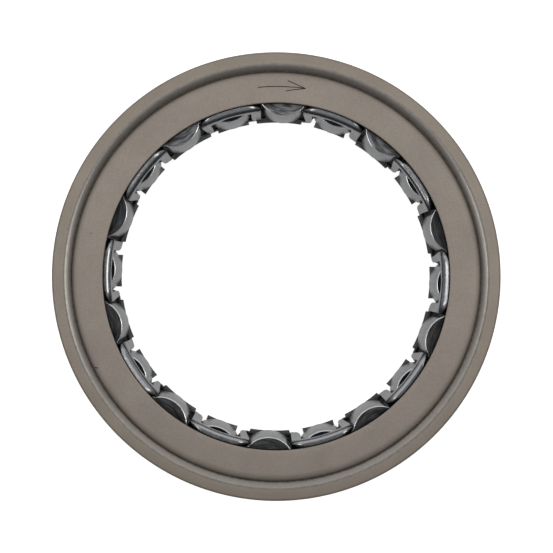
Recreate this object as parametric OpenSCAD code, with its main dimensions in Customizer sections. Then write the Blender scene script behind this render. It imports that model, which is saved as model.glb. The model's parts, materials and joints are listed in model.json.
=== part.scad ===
// Sprag clutch: an outer race with two side plates, and inside it a ring of sprags in two cages.
// The axis is Z, the marked front face looks along +Z and the rear face lies on Z = 0.
// Each piece is drawn at the top of the ring, on +Y, and turned clockwise to its place, seen from the front.

/* [Fit] */
// Diameter of the shaft or inner race that runs inside the sprags
shaft_d = 65; // [60:0.5:72]
// Radial height of a sprag, from the shaft to the track of the outer race
sprag_h = 8; // [7.6:0.1:8.6]
// Radial wall of the outer race behind the track
race_wall = 4.5; // [4.2:0.1:8]
// Width over the two end faces
ring_w = 25; // [18:0.5:40]
// Pairs of sprags round the clutch
pairs = 10; // [7:1:10]

/* [Outer race] */
// Radius of the outer corners
race_corner = 0.5; // [0.2:0.1:1]
// Radial width of the shoulder that each side plate seats on
seat_w = 0.85; // [0.7:0.05:1.2]
// Radius of the rolled rim at its mouth, where it turns in over a side plate
rim_round = 1.2; // [1:0.1:1.5]
// Larger radius of the rim's shoulder, between its mouth and the end face
rim_ease = 3.2; // [2:0.1:4]
// Slope at which the shoulder meets the rounding of the mouth, in degrees
rim_slope = 30; // [15:1:35]
// How far the rolled rim reaches in over the edge of a side plate
rim_grip = 0.25; // [0.1:0.05:0.35]

/* [Side plates] */
// Thickness of a side plate
plate_t = 1.8; // [1.4:0.1:2.6]
// Step from the end face of the race down to a side plate
plate_step = 0.4; // [0.2:0.1:0.8]
// Radial gap between the shaft and the bore of a side plate
plate_bore_gap = 2.3; // [2:0.1:3]
// Radius of the rounded outer edge of a side plate
plate_edge = 1; // [0.7:0.05:1.2]
// Radius of the rounded edges of the plate's bore
plate_lip = 0.3; // [0.1:0.05:0.5]

/* [Sprags] */
// Radius of the inner cam, which grips the shaft
inner_cam_r = 5.7; // [5.5:0.1:6]
// Radius of the outer cam, which grips the track
outer_cam_r = 5.5; // [5.3:0.1:5.8]
// Sideways distance between the two cam centres, which makes the wedge
wedge = 0.75; // [0.5:0.05:0.9]
// Width over the two flat sides
sprag_w = 9.5; // [9:0.1:9.8]
// Radius of the hollow in each side that the spring lies in
waist_r = 1.7; // [1.2:0.1:2]
// Width left between the two hollows
waist_w = 6.9; // [6.2:0.1:7.6]
// Bevel round both ends of a sprag
sprag_bevel = 0.25; // [0.1:0.05:0.4]
// How far a relaxed sprag stands inside the shaft's surface
preload = 0.04; // [0:0.01:0.1]

/* [Inner cage] */
// Thickness of the cage's sheet
inner_t = 0.6; // [0.4:0.05:0.7]
// Radial gap between the shaft and the cage
inner_gap = 0.75; // [0.6:0.05:0.9]
// Outer radius of the bend where a loop turns out under the front side plate
loop_bend = 1.6; // [1.2:0.1:2]
// Flat width of a loop beyond its bend
loop_flat = 0.65; // [0.4:0.05:1]
// Corner radius of a loop, seen from the front
loop_corner = 2.2; // [1.6:0.1:2.2]
// Axial width of the bridge that joins two bars at the rear
bridge_w = 0.75; // [0.6:0.05:1.2]
// Corner radius at the free end of a bar
bar_corner = 1.2; // [0.6:0.1:1.3]
// Open window, from its centre to the straight edge
open_window_back = 4.4; // [4.2:0.05:4.5]
// Open window, from its centre to the slanted edge, at the front
open_window_fore = 4.2; // [4.15:0.05:4.4]
// How much further the slanted edge stands off at the rear
open_window_flare = 0.95; // [0:0.05:1.1]
// Looped window, from its centre to the slanted edge, at the front
loop_window_back = 4.45; // [4.2:0.05:4.5]
// How much nearer that edge stands at the rear
loop_window_flare = 0.45; // [0:0.05:0.5]
// Looped window, from its centre to the straight edge
loop_window_fore = 4.1; // [4.05:0.05:4.4]

/* [Outer cage] */
// Thickness of the cage's sheet
outer_t = 0.8; // [0.5:0.05:0.9]
// Radial gap between the cage and the track
outer_gap = 0.7; // [0.5:0.05:0.8]
// Half width of a window
outer_window = 4.9; // [4.8:0.05:5.1]
// Radial gap between the shaft and the rear flange
flange_gap = 0.22; // [0.15:0.01:0.4]
// Half width of a square tab, behind each looped sprag
tab_half = 3.37; // [3:0.05:3.4]
// Width of the relief slot beside a tab
slot_w = 0.66; // [0.5:0.05:0.9]
// How far the relief slots reach out from the shaft's surface
slot_reach = 2.9; // [2.7:0.05:3.2]
// Corner radius of the flange next to a slot
flange_corner = 2.1; // [1.5:0.1:2.2]
// Depth of the shallow reliefs beside the one tab that stays joined
joined_relief = 0.4; // [0.2:0.05:0.6]
// Width of those shallow reliefs
joined_relief_w = 1.65; // [1:0.05:2]

/* [Ribbon spring] */
// Thickness of the spring strip
spring_t = 0.25; // [0.15:0.05:0.3]
// Axial width of each of its two rails
rail_w = 0.7; // [0.5:0.05:0.7]
// Half width of a fold at its feet
fold_half = 1.6; // [1:0.1:1.7]
// Height of a fold
fold_h = 1.3; // [0.8:0.1:1.4]
// How far the strip lies inside the middle of the sprags' height
spring_drop = 0.4; // [0:0.1:0.6]

/* [Clearances] */
// Between a sprag and the track
track_clear = 0.04; // [0.02:0.01:0.08]
// Between a side plate and the race round it
plate_clear = 0.04; // [0.02:0.01:0.08]
// Between a cage and a side plate, along the axis
cage_clear = 0.15; // [0.05:0.05:0.3]
// Between a sprag and the ends of its window, along the axis
end_clear = 0.15; // [0.05:0.05:0.3]
// Between the two cages, along the axis
nest_clear = 0.05; // [0.03:0.01:0.1]

/* [Hidden] */
$fn = 180;
// How far a cut runs on past the piece, and the sliver by which two cuts overlap.
over = 1;
sliver = 0.01;
shaft_r = shaft_d / 2;
track_r = shaft_r + sprag_h;
race_r = track_r + race_wall;
count = 2 * pairs;
pitch = 360 / count;
// The photographed clutch stands with its first open sprag this far clockwise from the top.
first_turn = 2.2;
seat_r = track_r + seat_w;
plate_r = seat_r - plate_clear;
plate_bore_r = shaft_r + plate_bore_gap;
rim_r = plate_r - rim_grip;
ease_r = rim_r + rim_round * (1 - sin(rim_slope));
plate_in = plate_step + plate_t;

// Heights along the axis, from the rear face at 0 to the front face at ring_w.
cage_low = plate_in + cage_clear;
cage_high = ring_w - cage_low;
flange_top = cage_low + outer_t;
bridge_low = flange_top + nest_clear;
bridge_high = bridge_low + bridge_w;
sprag_low = bridge_high + end_clear;
bend_low = cage_high - loop_bend;
loop_lap = end_clear / 3;
window_high = bend_low - loop_lap;
sprag_high = bend_low - end_clear;
sprag_l = sprag_high - sprag_low;

inner_r = shaft_r + inner_gap;
inner_out_r = inner_r + inner_t;
bend_r = inner_r + loop_bend;
loop_r = bend_r + loop_flat;
outer_out_r = track_r - outer_gap;
outer_in_r = outer_out_r - outer_t;
flange_r = shaft_r + flange_gap;

// The outer cam turns about its own centre, so a tilting sprag keeps its clearance to the track.
inner_cam_y = shaft_r - preload + inner_cam_r;
outer_cam_y = track_r - track_clear - outer_cam_r;
inner_cam_x = wedge / 5;
outer_cam_x = inner_cam_x - wedge;
waist_y = (shaft_r + track_r) / 2;
spring_r = waist_y - spring_drop;
front_rail = bend_low;
rear_rail = sprag_low - end_clear - rail_w;

function sprag_name(i) = str("sprag_", i < 10 ? "0" : "", i);
// Odd sprags lie in open windows, even ones under the loops.
function turn_of(i) = first_turn + (i - 1) * pitch;
// How far a bar reaches from the middle of its loop, next to an open window with this half width.
function bar_reach(edge) = inner_out_r * sin(pitch - asin(edge / inner_out_r)) + loop_lap;

module at(turn) {
  rotate([0, 0, -turn])
    children();
}

// A prism along the radius through a window, drawn as an outline of width and height.
module radial_prism(from, to) {
  translate([0, to, 0])
    rotate([90, 0, 0])
      linear_extrude(to - from)
        children();
}

// Half of the race, from mid-width to an end face, as radius against height.
module race_half_section() {
  half = ring_w / 2;
  difference() {
    union() {
      translate([track_r, 0])
        square([race_wall, half - race_corner]);
      translate([track_r, 0])
        square([race_wall - race_corner, half]);
      translate([race_r - race_corner, half - race_corner])
        circle(race_corner);
    }
    translate([0, half - plate_in])
      square([rim_r, plate_in + over]);
    rim_mouth(half);
    rim_undercut(half);
  }
}

// The rounded way in over the rim: a steep mouth that runs on into a wide, gentle shoulder.
module rim_mouth(half) {
  mouth_y = half - rim_ease * (1 - cos(rim_slope)) - rim_round * cos(rim_slope);
  difference() {
    translate([rim_r, mouth_y])
      square([ease_r - rim_r + rim_ease * sin(rim_slope), half - mouth_y + over]);
    translate([rim_r + rim_round, mouth_y])
      circle(rim_round);
    intersection() {
      translate([ease_r + rim_ease * sin(rim_slope), half - rim_ease])
        circle(rim_ease);
      translate([ease_r, half - rim_ease])
        square([rim_ease, rim_ease]);
    }
  }
}

// The rim closes over the plate's rounded edge, and follows it with the plate's clearance.
module rim_undercut(half) {
  shoulder = half - plate_in;
  translate([0, shoulder])
    square([seat_r, plate_t - plate_edge]);
  intersection() {
    translate([plate_r - plate_edge, shoulder + plate_t - plate_edge])
      circle(plate_edge + plate_clear);
    translate([0, shoulder])
      square([race_r, plate_t + over]);
  }
}

module outer_race() {
  color("#8f867c")
    rotate_extrude() {
      translate([0, ring_w / 2])
        race_half_section();
      translate([0, ring_w / 2])
        mirror([0, 1])
          race_half_section();
    }
}

// A side plate with its rounded face up and its flat back on height 0.
module side_plate() {
  width = plate_r - plate_bore_r;
  rotate_extrude()
    translate([plate_bore_r, 0]) {
      square([width, plate_t - plate_edge]);
      translate([plate_lip, 0])
        square([width - plate_lip - plate_edge, plate_t]);
      square([width - plate_edge, plate_t - plate_lip]);
      translate([plate_lip, plate_t - plate_lip])
        circle(plate_lip);
      intersection() {
        translate([width - plate_edge, plate_t - plate_edge])
          circle(plate_edge);
        square([width, plate_t]);
      }
    }
}

module front_side_plate() {
  color("#968d82")
    translate([0, 0, ring_w - plate_in])
      side_plate();
}

module rear_side_plate() {
  color("#968d82")
    translate([0, 0, plate_in])
      mirror([0, 0, 1])
        side_plate();
}

// One side of a bar that is bevelled at both ends, as half width against height.
function bevelled(half) = [
  [half - sprag_bevel, 0],
  [half, sprag_bevel],
  [half, sprag_l - sprag_bevel],
  [half - sprag_bevel, sprag_l]
];

// A cam, turned as a round bar.
module cam(x, y, r) {
  translate([x, y, 0])
    rotate_extrude()
      polygon(concat([[0, 0]], bevelled(r), [[0, sprag_l]]));
}

// Two cams on offset centres, flat sides and a hollow in each side.
module sprag_body() {
  side = bevelled(sprag_w / 2);
  difference() {
    intersection() {
      cam(inner_cam_x, inner_cam_y, inner_cam_r);
      cam(outer_cam_x, outer_cam_y, outer_cam_r);
      radial_prism(shaft_r - over, track_r + over)
        polygon(concat(side, [for (i = [3 : -1 : 0]) [-side[i].x, side[i].y]]));
    }
    for (way = [-1, 1])
      translate([way * (waist_w / 2 + waist_r), waist_y, -over])
        cylinder(h = sprag_l + 2 * over, r = waist_r);
  }
}

module sprag(i) {
  color("#5d5e60")
    at(turn_of(i))
      translate([0, 0, sprag_low])
        sprag_body();
}

// The window of an open sprag runs out past the front end of the bars.
module open_window() {
  rear = open_window_fore + open_window_flare;
  radial_prism(shaft_r, inner_out_r + over)
    polygon([
      [-open_window_back, bridge_high],
      [rear, bridge_high],
      [open_window_fore, window_high],
      [open_window_fore, cage_high + over],
      [-open_window_back, cage_high + over]
    ]);
}

// The window under a loop runs out past the rear end of the bars, save for the one that is joined.
module loop_window(joined) {
  rear = loop_window_back - loop_window_flare;
  low = joined ? bridge_high : 0;
  radial_prism(shaft_r, inner_out_r + over)
    polygon([
      [-rear, low],
      [loop_window_fore, low],
      [loop_window_fore, window_high],
      [-loop_window_back, window_high],
      [-rear, bridge_high]
    ]);
  if (!joined)
    for (side = [-1, 1])
      bar_end(side, side < 0 ? rear : loop_window_fore);
}

// What is taken off the corner of a bar's free end.
module bar_end(side, edge) {
  radial_prism(shaft_r, inner_out_r + over)
    difference() {
      translate([side > 0 ? edge - sliver : -edge - bar_corner, 0])
        square([bar_corner + sliver, bridge_low + bar_corner]);
      translate([side * (edge + bar_corner), bridge_low + bar_corner])
        circle(bar_corner);
    }
}

// The outline of a loop from the front: as wide as its bars, rounded towards its outer edge.
module loop_outline() {
  left = bar_reach(open_window_fore);
  right = bar_reach(open_window_back);
  corner_y = loop_r - loop_corner;
  translate([-left, shaft_r])
    square([left + right, corner_y - shaft_r]);
  translate([loop_corner - left, shaft_r])
    square([left + right - 2 * loop_corner, sprag_h]);
  translate([loop_corner - left, corner_y])
    circle(loop_corner);
  translate([right - loop_corner, corner_y])
    circle(loop_corner);
}

// The strip as radius against height: a wall, a bend outwards at the front and the flat of the loops.
module strip_section() {
  translate([inner_r, bridge_low])
    square([inner_t, bend_low - bridge_low]);
  translate([bend_r, cage_high - inner_t])
    square([loop_flat, inner_t]);
  intersection() {
    difference() {
      translate([bend_r, bend_low])
        circle(loop_bend);
      translate([bend_r, bend_low])
        circle(loop_bend - inner_t);
    }
    translate([inner_r, bend_low])
      square(loop_bend);
  }
}

module inner_cage() {
  color("#a9abac")
    difference() {
      rotate_extrude()
        strip_section();
      for (k = [0 : pairs - 1]) {
        at(turn_of(2 * k + 1))
          open_window();
        at(turn_of(2 * k + 2))
          loop_window(k == pairs - 1);
      }
      translate([0, 0, sprag_high])
        linear_extrude(cage_high - sprag_high + over)
          difference() {
            circle(loop_r + over);
            circle(shaft_r);
            for (k = [0 : pairs - 1])
              at(turn_of(2 * k + 2))
                loop_outline();
          }
    }
}

// A slot on each side of a tab, with the flange beyond it rounded off.
module tab_relief() {
  reach = shaft_r + slot_reach;
  lobe = tab_half + slot_w;
  corner_y = flange_r + flange_corner;
  for (side = [0, 1])
    mirror([side, 0]) {
      translate([tab_half, shaft_r - over])
        square([slot_w, reach - shaft_r + over]);
      difference() {
        translate([lobe - sliver, shaft_r - over])
          square([flange_corner + sliver, corner_y - shaft_r + over]);
        translate([lobe + flange_corner, corner_y])
          circle(flange_corner);
      }
    }
}

// The one tab that stays joined has only a shallow relief on each side.
module joined_tab_relief() {
  for (side = [0, 1])
    mirror([side, 0])
      translate([tab_half, shaft_r - over])
        square([joined_relief_w, over + flange_gap + joined_relief]);
}

module outer_cage() {
  color("#8b8d8f")
    difference() {
      rotate_extrude() {
        translate([flange_r, cage_low])
          square([outer_out_r - flange_r - outer_t, outer_t]);
        translate([outer_in_r, cage_low + outer_t])
          square([outer_t, cage_high - cage_low - outer_t]);
        intersection() {
          translate([outer_in_r, cage_low + outer_t])
            circle(outer_t);
          translate([outer_in_r, cage_low])
            square(outer_t);
        }
      }
      for (i = [1 : count])
        at(turn_of(i))
          translate([-outer_window, outer_in_r - over, bridge_high])
            cube([2 * outer_window, outer_t + 2 * over, bend_low - bridge_high]);
      for (k = [0 : pairs - 1])
        at(turn_of(2 * k + 2))
          translate([0, 0, cage_low - over])
            linear_extrude(outer_t + 2 * over)
              if (k == pairs - 1)
                joined_tab_relief();
              else
                tab_relief();
    }
}

// One fold, a strip bent to a roof between two sprags.
module fold_section() {
  foot = fold_half;
  top = spring_r + fold_h;
  polygon([
    [-foot, spring_r],
    [0, top - spring_t],
    [foot, spring_r],
    [foot, spring_r + spring_t],
    [0, top],
    [-foot, spring_r + spring_t]
  ]);
}

module ribbon_spring() {
  color("#77787a") {
    for (low = [rear_rail, front_rail])
      translate([0, 0, low])
        difference() {
          cylinder(h = rail_w, r = spring_r + spring_t);
          translate([0, 0, -over])
            cylinder(h = rail_w + 2 * over, r = spring_r);
        }
    for (i = [1 : count])
      at(turn_of(i) + pitch / 2)
        translate([0, 0, rear_rail])
          linear_extrude(front_rail + rail_w - rear_rail)
            fold_section();
  }
}

outer_race();
front_side_plate();
rear_side_plate();
outer_cage();
inner_cage();
ribbon_spring();
for (i = [1 : count])
  sprag(i);
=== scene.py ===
# %% [markdown]
# # Dressing a sprag clutch
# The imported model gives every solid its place. This lesson turns the solids that show into
# finished pieces of steel, lights them as on a pale table, and looks straight down on them.
# All lengths are worked out in millimetres and turned to metres where a mesh is made.

import json
import math

import bmesh
import bpy
from mathutils import Matrix, Vector

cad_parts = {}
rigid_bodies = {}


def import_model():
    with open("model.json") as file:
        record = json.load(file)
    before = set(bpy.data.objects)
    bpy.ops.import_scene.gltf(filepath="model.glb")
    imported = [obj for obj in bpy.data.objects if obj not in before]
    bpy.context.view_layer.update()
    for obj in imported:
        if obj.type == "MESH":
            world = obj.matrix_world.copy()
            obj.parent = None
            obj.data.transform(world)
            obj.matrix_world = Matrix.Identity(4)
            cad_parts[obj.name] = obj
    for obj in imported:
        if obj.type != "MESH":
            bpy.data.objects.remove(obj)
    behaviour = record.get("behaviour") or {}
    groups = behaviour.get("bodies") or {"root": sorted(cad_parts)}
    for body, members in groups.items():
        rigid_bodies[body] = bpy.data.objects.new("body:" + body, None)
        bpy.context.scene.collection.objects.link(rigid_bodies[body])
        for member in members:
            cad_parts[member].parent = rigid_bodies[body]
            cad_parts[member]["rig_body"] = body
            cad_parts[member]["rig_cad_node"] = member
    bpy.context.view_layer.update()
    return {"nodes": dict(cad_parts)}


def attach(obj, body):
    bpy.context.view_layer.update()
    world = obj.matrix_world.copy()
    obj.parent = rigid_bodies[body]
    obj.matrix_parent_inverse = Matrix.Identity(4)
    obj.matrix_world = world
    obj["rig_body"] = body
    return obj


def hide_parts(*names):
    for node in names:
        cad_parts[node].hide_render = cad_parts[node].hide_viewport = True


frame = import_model()
MM = 0.001
bpy.ops.object.select_all(action="DESELECT")

# %% [markdown]
# ## Sizes
# They repeat the named values of the part's source, so that each new piece fits the solid it
# stands for. Only the plates' rounded edge stands a little further in, which opens the dark
# groove beside the rim. Heights count from the rear face, which lies on the table.

# %% Sizes in millimetres
TRACK_R = 40.5
RACE_R = 45.0
RING_W = 25.0
HALF_W = RING_W / 2
PAIRS = 10
PITCH = 18.0  # degrees from one sprag to the next
FIRST_TURN = 2.2  # degrees from the top of the picture to the first sprag
PLATE_T = 1.8
PLATE_STEP = 0.4  # the plates lie this far inside the race's faces
PLATE_R = 41.14  # 0.17 inside the edge of the solid
PLATE_BORE_R = 34.8
SEAT_R = 41.35
SPRAG_LOW = 4.1
SPRAG_HIGH = 20.9
print("sprags:", 2 * PAIRS, "each", round(SPRAG_HIGH - SPRAG_LOW, 2), "mm long")


def turn_of(number):
    """Degrees clockwise from the top to a sprag, seen from the front."""
    return FIRST_TURN + (number - 1) * PITCH


# %% [markdown]
# ## Helpers for modelling
# Most pieces start from a primitive and are shaped in edit mode, as by hand. Operators act on
# what is selected, so these helpers always start from nothing selected.

# %% Select, edit and pick
def alone(piece):
    """Makes a piece the active and only selected one."""
    bpy.ops.object.select_all(action="DESELECT")
    bpy.context.view_layer.objects.active = piece
    piece.select_set(True)


def edit(piece, kind="VERT"):
    """Goes into edit mode on a piece, with nothing of it selected."""
    alone(piece)
    bpy.ops.object.mode_set(mode="EDIT")
    bpy.ops.mesh.select_mode(type=kind)
    bpy.ops.mesh.select_all(action="DESELECT")


def leave():
    bpy.ops.object.mode_set(mode="OBJECT")


def pick(piece, kind, test):
    """Selects the vertices, edges or faces whose middle passes the test, in millimetres."""
    mesh = bmesh.from_edit_mesh(piece.data)
    items = {"VERT": mesh.verts, "EDGE": mesh.edges, "FACE": mesh.faces}[kind]
    found = 0
    for item in items:
        if kind == "VERT":
            middle = item.co
        elif kind == "EDGE":
            middle = (item.verts[0].co + item.verts[1].co) / 2
        else:
            middle = item.calc_center_median()
        if test(middle / MM, item):
            item.select_set(True)
            found += 1
    mesh.select_flush_mode()
    bmesh.update_edit_mesh(piece.data)
    return found


def weld(distance=0.002):
    """Merges the edited piece's vertices that lie closer than this, in millimetres."""
    bpy.ops.mesh.select_all(action="SELECT")
    bpy.ops.mesh.remove_doubles(threshold=distance * MM)


# %% Finish a shape
def settle(piece):
    """Applies the object's own place, so that the piece sits at the origin."""
    alone(piece)
    bpy.ops.object.transform_apply(location=True, rotation=True, scale=True)


def modify(piece, kind, **settings):
    """Adds a modifier with its settings and applies it at once."""
    alone(piece)
    modifier = piece.modifiers.new(kind.title(), kind)
    for name, value in settings.items():
        setattr(modifier, name, value)
    bpy.ops.object.modifier_apply(modifier=modifier.name)


def smooth(piece, degrees=35):
    """Shades a piece smooth, except across edges sharper than this."""
    alone(piece)
    bpy.ops.object.shade_smooth_by_angle(angle=math.radians(degrees))


def copy_of(piece, name, turn):
    """A copy with its own mesh, turned clockwise about the axis."""
    new = piece.copy()
    new.data = piece.data.copy()
    new.name = new.data.name = name
    bpy.context.scene.collection.objects.link(new)
    new.data.transform(Matrix.Rotation(-math.radians(turn), 4, "Z"))
    return new


def report(piece):
    """Prints how many triangles a piece has."""
    piece.data.calc_loop_triangles()
    print(piece.name, "triangles:", len(piece.data.loop_triangles))
    return piece


# %% [markdown]
# ## Turned rings
# The race and the side plates are lathe work: one outline spun round the axis. A vertex is
# extruded from corner to corner of the outline, as a pen would draw it, and then spun. That
# gives clean rings of quads whose roundings catch the light evenly.

# %% Draw an outline and spin it
SPIN_STEPS = 256


def arc(centre, radius, start, end, steps=10):
    """Points on an arc, in degrees from +radius towards +height."""
    turns = [math.radians(start + (end - start) * i / steps) for i in range(steps + 1)]
    return [(centre[0] + radius * math.cos(t), centre[1] + radius * math.sin(t)) for t in turns]


def pen(name, points):
    """Draws a path through points in millimetres and stays in edit mode. The pen is one
    vertex of a plane: it is moved to the first point and extruded to each next one."""
    bpy.ops.mesh.primitive_plane_add(size=MM, location=(0, 0, 0))
    piece = bpy.context.active_object
    piece.name = piece.data.name = name
    edit(piece)
    pick(piece, "VERT", lambda at, vertex: vertex.index > 0)
    bpy.ops.mesh.delete(type="VERT")
    pick(piece, "VERT", lambda at, vertex: True)
    mesh = bmesh.from_edit_mesh(piece.data)
    mesh.verts.ensure_lookup_table()
    previous = mesh.verts[0].co.copy()
    for i, place in enumerate(points):
        point = Vector([v * MM for v in place])
        if i == 0:
            bpy.ops.transform.translate(value=point - previous)
        else:
            bpy.ops.mesh.extrude_region_move(TRANSFORM_OT_translate={"value": point - previous})
        previous = point
    return piece


def turned(name, outline):
    """A closed outline of (radius, height) points, spun all the way round the axis."""
    piece = pen(name, [(radius, 0, height) for radius, height in outline])
    mesh = bmesh.from_edit_mesh(piece.data)
    mesh.edges.new([v for v in mesh.verts if len(v.link_edges) == 1])
    bmesh.update_edit_mesh(piece.data)
    bpy.ops.mesh.select_all(action="SELECT")
    bpy.ops.mesh.spin(steps=SPIN_STEPS, angle=2 * math.pi, center=(0, 0, 0), axis=(0, 0, 1))
    weld()
    bpy.ops.mesh.normals_make_consistent(inside=False)
    leave()
    smooth(piece)
    return report(piece)


# %% [markdown]
# ### The outer race
# One steel ring. Its rims were rolled in over the side plates, which leaves a shoulder that
# starts gently, has a faint crease half-way down that catches the light as a thin line, turns
# steep at its mouth, and ends in a dark crevice beside the plate. The outline is drawn for the
# front half and mirrored for the rear.

# %% A rounding of several radii
SHOULDER_STEPS = 8


def shoulder(start, face, parts):
    """Points of a rounding that falls from a flat face, from its low end up to the face.
    start is the radius of the low end and face the height of the face. parts holds the
    rounding's (radius, degrees) from the face down."""
    slope, r, h = 0.0, 0.0, 0.0
    points = [(r, h)]
    for radius, degrees in parts:
        t0 = math.radians(slope)
        for i in range(1, SHOULDER_STEPS + 1):
            t = math.radians(slope + degrees * i / SHOULDER_STEPS)
            points.append((r + radius * (math.sin(t) - math.sin(t0)),
                           h - radius * (math.cos(t0) - math.cos(t))))
        r, h = points[-1]
        slope += degrees
    return [(start + r - x, face + y) for x, y in reversed(points)]


# %% Outer race
RIM_MOUTH_R = 41.05
RIM_PARTS = ((3.8, 11), (1.0, 14), (6.5, 8), (1.2, 29))
SEAT_LOW = 10.3  # the plate's seat, counted from the middle of the width
TRACK_EASE = 0.1
CREVICE_CENTRE, CREVICE_RADIUS, CREVICE_TURN = (40.11, 11.0), 1.24, 25
CORNER = 0.5

rim = shoulder(RIM_MOUTH_R, HALF_W, RIM_PARTS)
half_race = (
    [(TRACK_R, 0), (TRACK_R, SEAT_LOW - TRACK_EASE)]
    + [(TRACK_R + TRACK_EASE, SEAT_LOW), (SEAT_R, SEAT_LOW)]
    + arc(CREVICE_CENTRE, CREVICE_RADIUS, 0, CREVICE_TURN, 4)
    + rim
    + arc((RACE_R - CORNER, HALF_W - CORNER), CORNER, 90, 0, 6)
    + [(RACE_R, 0)]
)
print("the rim's rounding ends at radius", round(rim[-1][0], 2), "height", round(rim[-1][1], 2))
race_outline = [(r, HALF_W + h) for r, h in half_race]
race_outline += [(r, HALF_W - h) for r, h in reversed(half_race[1:-1])]
race = turned("race_ring", race_outline)

# %% [markdown]
# ### The side plates
# Flat pressed rings that close both ends. The outer edge is well rounded from the press. The
# bore was punched, so its edge has a small rounding and the face sinks a little towards it.

# %% Side plates
PLATE_EDGE = ((2.6, 22), (1.0, 68))  # (radius, degrees) from the face down
PLATE_LIP = ((12.0, 5), (0.3, 85))
BORE_EASE, BACK_EASE = 0.1, 0.05


def plate_outline(back, side):
    """back is the height of the plate's flat back; side is 1 at the front and -1 at the rear."""
    lip = shoulder(PLATE_BORE_R, PLATE_T, PLATE_LIP)
    edge = [(PLATE_R - r, h) for r, h in reversed(shoulder(0, PLATE_T, PLATE_EDGE))]
    points = [(PLATE_BORE_R + BORE_EASE, 0), (PLATE_BORE_R, BORE_EASE)] + lip + edge
    points += [(PLATE_R, BACK_EASE), (PLATE_R - BACK_EASE, 0)]
    return [(r, back + side * h) for r, h in points]


front_back = RING_W - PLATE_STEP - PLATE_T
front_plate = turned("front_plate", plate_outline(front_back, 1))
rear_plate = turned("rear_plate", plate_outline(RING_W - front_back, -1))

# %% [markdown]
# ### The arrow
# A thin line scribed by hand into the front plate: it shows which way the shaft runs free.
# Each stroke is drawn as a path, pulled down into a wall, thickened and cut out of the plate,
# so that the line is a real groove with its own dark finish.

# %% Strokes of the arrow, one stray nick and a pit
STROKE_W = 0.18
STROKE_DEEP, NICK_DEEP = 0.06, 0.35
STROKE_RISE = 0.3  # each cutter starts this far above the plate
STROKES = {
    "shaft": [(-3.7, 37.92), (-1.9, 38.08), (-0.08, 38.13), (2.2, 38.06), (4.3, 37.92),
              (5.85, 37.68)],
    "upper_barb": [(2.25, 39.29), (3.6, 38.7), (5.85, 37.68)],
    "lower_barb": [(1.89, 37.18), (3.6, 37.5), (5.85, 37.68)],
    "nick": [(-36.6, -18.24), (-36.1, -18.26), (-35.69, -18.34)],
    "pit": [(-37.2, 8.64), (-37.0, 8.69)],
}


def stroke(name, path, deep):
    """A thin upright wall along a path of (x, y) points, which cuts this deep into the plate."""
    top = RING_W - PLATE_STEP + STROKE_RISE
    piece = pen(name, [(x, y, top) for x, y in path])
    bpy.ops.mesh.select_all(action="SELECT")
    down = Vector((0, 0, -(STROKE_RISE + deep) * MM))
    bpy.ops.mesh.extrude_region_move(TRANSFORM_OT_translate={"value": down})
    leave()
    modify(piece, "SOLIDIFY", thickness=STROKE_W * MM, offset=0.0)
    edit(piece)
    bpy.ops.mesh.select_all(action="SELECT")
    bpy.ops.mesh.normals_make_consistent(inside=False)
    leave()
    return piece


# %% [markdown]
# ## Finishes
# One function turns a written sRGB colour to the linear values that the shader wants, and one
# small function adds a node with its settings and links.

# %% Colour and node helpers
def linear(hex_colour):
    """The linear colour of a written sRGB colour."""
    values = [int(hex_colour[i : i + 2], 16) / 255 for i in (1, 3, 5)]
    return (*[v / 12.92 if v <= 0.04045 else ((v + 0.055) / 1.055) ** 2.4 for v in values], 1.0)


def node(tree, kind, links=None, inputs=None, stops=(), **settings):
    """Adds a node, sets its properties, inputs and (position, colour) stops, and links sockets
    into it. The stops come in rising order."""
    new = tree.nodes.new(kind)
    for name, value in settings.items():
        setattr(new, name, value)
    for i, (position, colour) in enumerate(stops):
        elements = new.color_ramp.elements
        stop = elements[i] if i < 2 else elements.new(position)
        stop.position, stop.color = position, colour
    for socket, value in (inputs or {}).items():
        new.inputs[socket].default_value = value
    for socket, source in (links or {}).items():
        tree.links.new(source, new.inputs[socket])
    return new


def fresh_material(name):
    """A material with an empty node tree, and that tree."""
    material = bpy.data.materials.new(name)
    material.use_nodes = True
    material.node_tree.nodes.clear()
    print("finish:", name)
    return material, material.node_tree


def per_metre(size_mm):
    """The scale of a texture whose features are this many millimetres across."""
    return 1 / (size_mm * MM)


NOISE_SPAN = {"From Min": 0.3, "From Max": 0.7}  # most values of a noise lie in it


# %% [markdown]
# ### Shot-blasted bearing steel
# Race and plates were blasted with fine grit, which leaves a dull warm grey without streaks.
# The real grit marks are about 0.05 mm across, too fine for this picture, so they are drawn
# 0.25 mm across. Handling leaves slow, faint clouds a few millimetres wide. The shoulder of
# the rim was burnished when it was rolled in: it is smoother there and partly bare. Shade is
# painted into the crevice at its foot, and small random patches lighten it again there and
# darken the rest of the shoulder a little.

# %% Blasted steel
GRIT_MM, GRIT_DEEP = 0.25, 0.02
GRIT_EDGES, GRIT_TONES, GRIT_ROUGH = (0.25, 0.75), (0.84, 1.16), 0.08
CLOUD_MM, CLOUD_TONES = 7, (0.93, 1.05)
PATCH_MM, PATCH_EDGES = 0.6, (0.35, 0.55)
BLASTED_METAL = 0.75  # the dull blasted skin mirrors less than bare metal
RIM_BURNISHED, RIM_ROUGH = (42.6, 43.2), 0.3
# Painted shade: darker towards the crevice at the rim's foot, lighter in random patches.
CREVICE_SHADE_R, CREVICE_SHADE_DARK, PATCH_SHADE_DARK = (41.0, 42.3), 0.42, 0.8
BARE_SHARE, BARE_COLOUR = 0.75, "#8E8984"


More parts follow.
